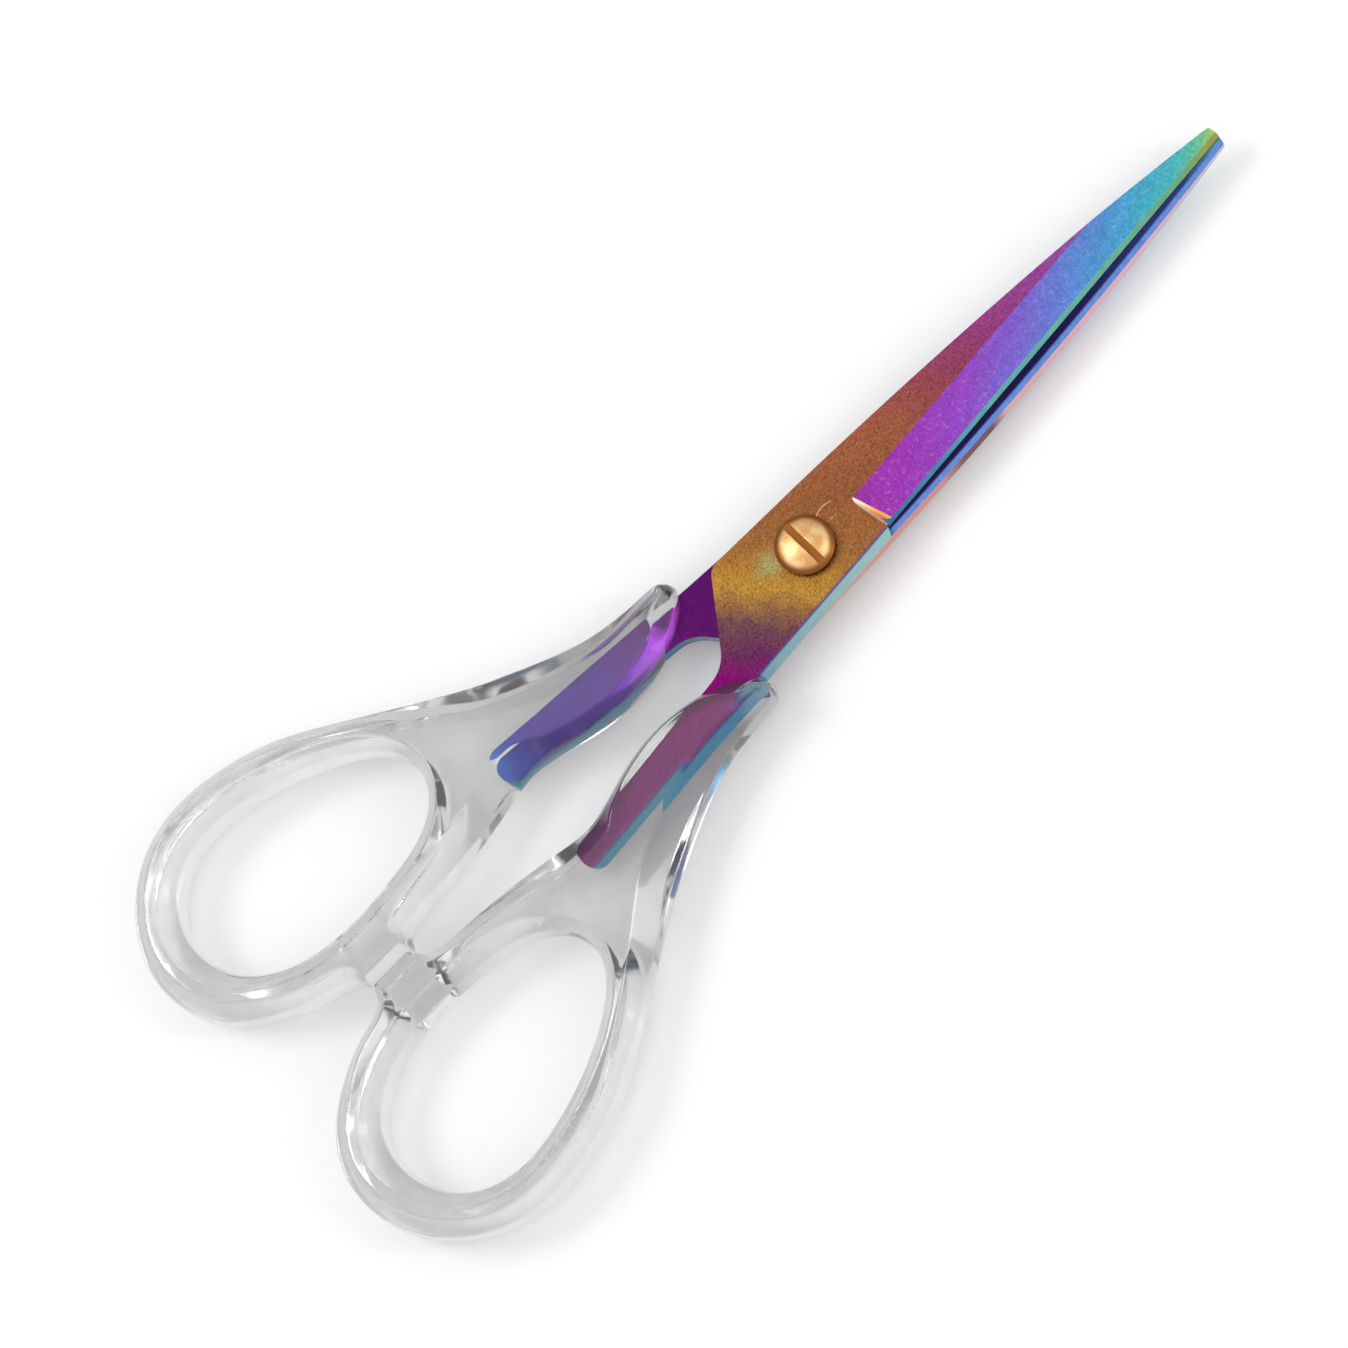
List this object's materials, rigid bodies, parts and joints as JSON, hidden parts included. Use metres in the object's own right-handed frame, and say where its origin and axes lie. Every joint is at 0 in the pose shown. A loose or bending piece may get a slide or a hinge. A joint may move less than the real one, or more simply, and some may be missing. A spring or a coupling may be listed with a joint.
{
  "type": "scissors",
  "caption": "Straight-bladed scissors with clear moulded bow handles on flat coated steel blades, joined by a slotted pivot screw; they cut paper, cloth or hair.",
  "frame": {"origin": "centre of the closed scissors' length and width, on the plane of the handles' undersides", "axes": "+X towards the blade tips, +Y towards the back half's handle, +Z along the pivot, out of the slotted screw head"},
  "size_m": [0.1599, 0.0672, 0.009],
  "materials": {
    "rainbow_steel_front": "blasted flat face and polished ground bevel under a rainbow coating, from gold at the pivot through purple and blue to teal at the tip",
    "rainbow_steel_back": "polished inner face and blasted outer face under a rainbow coating, deep purple and blue",
    "clear_handle": "clear moulded plastic with a polished surface",
    "brass": "polished with fine turning marks",
    "washer_brass": "satin"
  },
  "bodies": {
    "back_half": {"back_blade": "rainbow_steel_back", "back_handle": "clear_handle", "pivot_screw": "brass", "spring_washer": "washer_brass", "sleeve_nut": "brass"},
    "front_half": {"front_blade": "rainbow_steel_front", "front_handle": "clear_handle"}
  },
  "joints": [
    {"name": "blade_pivot", "type": "hinge", "parent": "back_half", "child": "front_half", "pos_m": [0.0112, 0, 0.0045], "axis": [0, 0, 1], "range_deg": [0, 100]}
  ]
}
